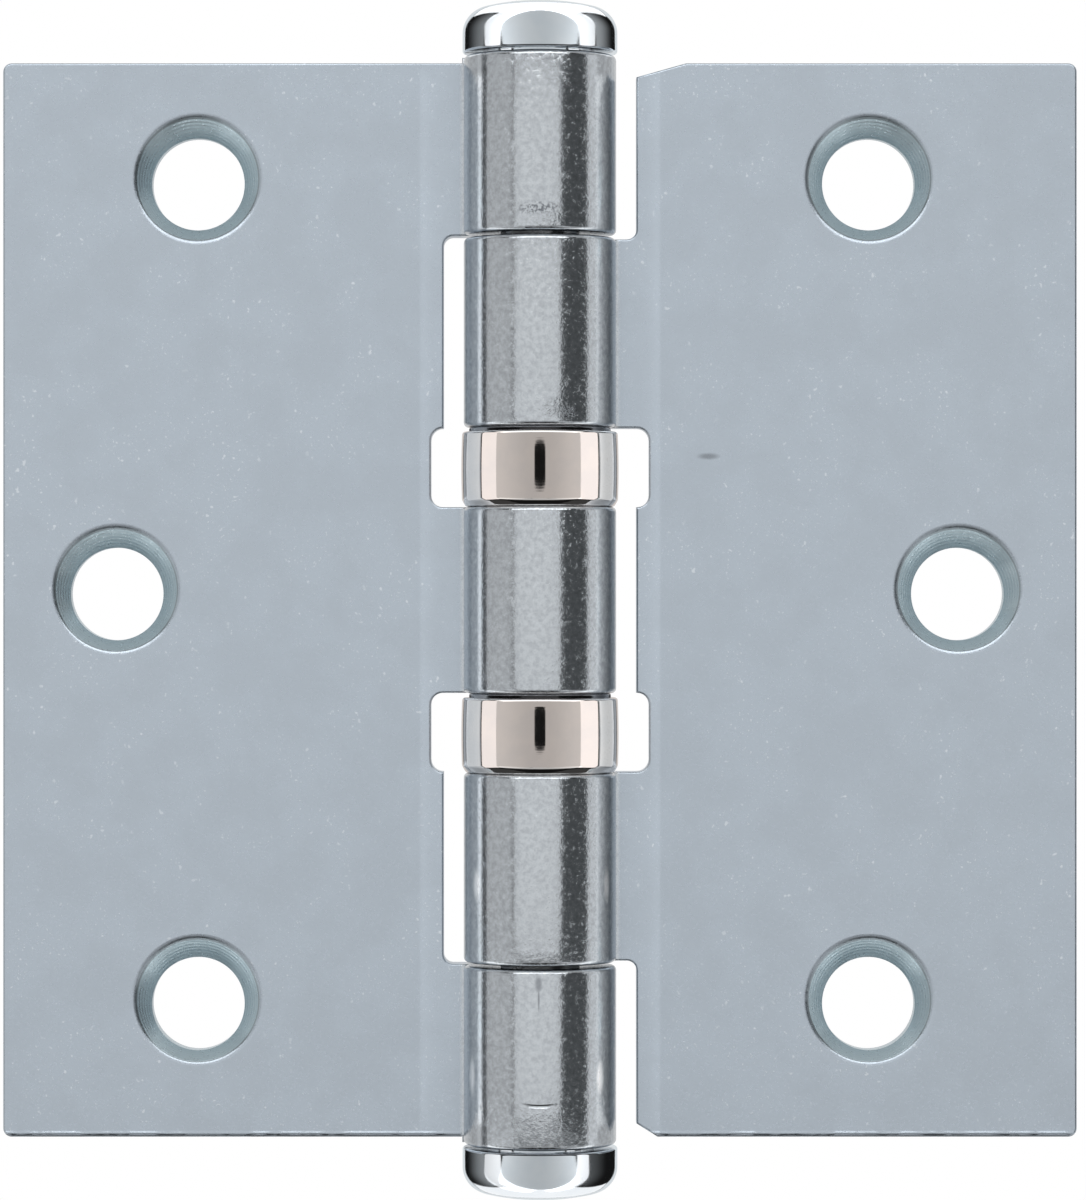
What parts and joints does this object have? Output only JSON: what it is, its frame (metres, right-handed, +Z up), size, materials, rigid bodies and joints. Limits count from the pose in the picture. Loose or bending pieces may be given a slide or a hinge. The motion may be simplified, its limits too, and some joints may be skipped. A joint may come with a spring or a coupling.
{
  "type": "ball bearing hinge",
  "caption": "Square butt hinge laid open flat: two countersunk zinc-plated leaves rolled into knuckles on one pin, with polished thrust ball bearings between knuckles and rounded caps.",
  "frame": {"origin": "on the pin's axis, at the middle of the barrel", "axes": "+Z up the pin, +X towards the swinging leaf, +Y towards the leaves' flat backs"},
  "size_m": [0.089, 0.013, 0.099],
  "materials": {
    "zinc_plate": "blue-bright zinc plating on sheet steel",
    "cup_nickel": "polished nickel plating",
    "cap_chrome": "mirror polished plating",
    "pin_steel": "drawn steel rod",
    "race_steel": "hardened and ground steel",
    "ball_steel": "polished hardened steel"
  },
  "bodies": {
    "fixed_leaf": {"left_leaf": "zinc_plate", "hinge_pin": "pin_steel", "pin_caps": "cap_chrome", "upper_bearing_cup": "cup_nickel", "lower_bearing_race": "race_steel"},
    "swing_leaf": {"right_leaf": "zinc_plate", "upper_bearing_race": "race_steel", "lower_bearing_cup": "cup_nickel"},
    "upper_balls": {"upper_ball_01": "ball_steel", "upper_ball_02": "ball_steel", "upper_ball_03": "ball_steel", "upper_ball_04": "ball_steel", "upper_ball_05": "ball_steel", "upper_ball_06": "ball_steel", "upper_ball_07": "ball_steel", "upper_ball_08": "ball_steel", "upper_ball_09": "ball_steel", "upper_ball_10": "ball_steel"},
    "lower_balls": {"lower_ball_01": "ball_steel", "lower_ball_02": "ball_steel", "lower_ball_03": "ball_steel", "lower_ball_04": "ball_steel", "lower_ball_05": "ball_steel", "lower_ball_06": "ball_steel", "lower_ball_07": "ball_steel", "lower_ball_08": "ball_steel", "lower_ball_09": "ball_steel", "lower_ball_10": "ball_steel"}
  },
  "joints": [
    {"name": "leaf_swing", "type": "hinge", "parent": "fixed_leaf", "child": "swing_leaf", "pos_m": [0, 0, 0], "axis": [0, 0, 1], "range_deg": [-180, 120]},
    {"name": "upper_ball_orbit", "type": "hinge", "parent": "fixed_leaf", "child": "upper_balls", "pos_m": [0, 0, 0.0107], "axis": [0, 0, 1], "range_deg": [-90, 60]},
    {"name": "lower_ball_orbit", "type": "hinge", "parent": "fixed_leaf", "child": "lower_balls", "pos_m": [0, 0, -0.0113], "axis": [0, 0, 1], "range_deg": [-90, 60]}
  ],
  "couplings": [
    {"joint": "upper_ball_orbit", "follows": "leaf_swing", "ratio": 0.5},
    {"joint": "lower_ball_orbit", "follows": "leaf_swing", "ratio": 0.5}
  ]
}
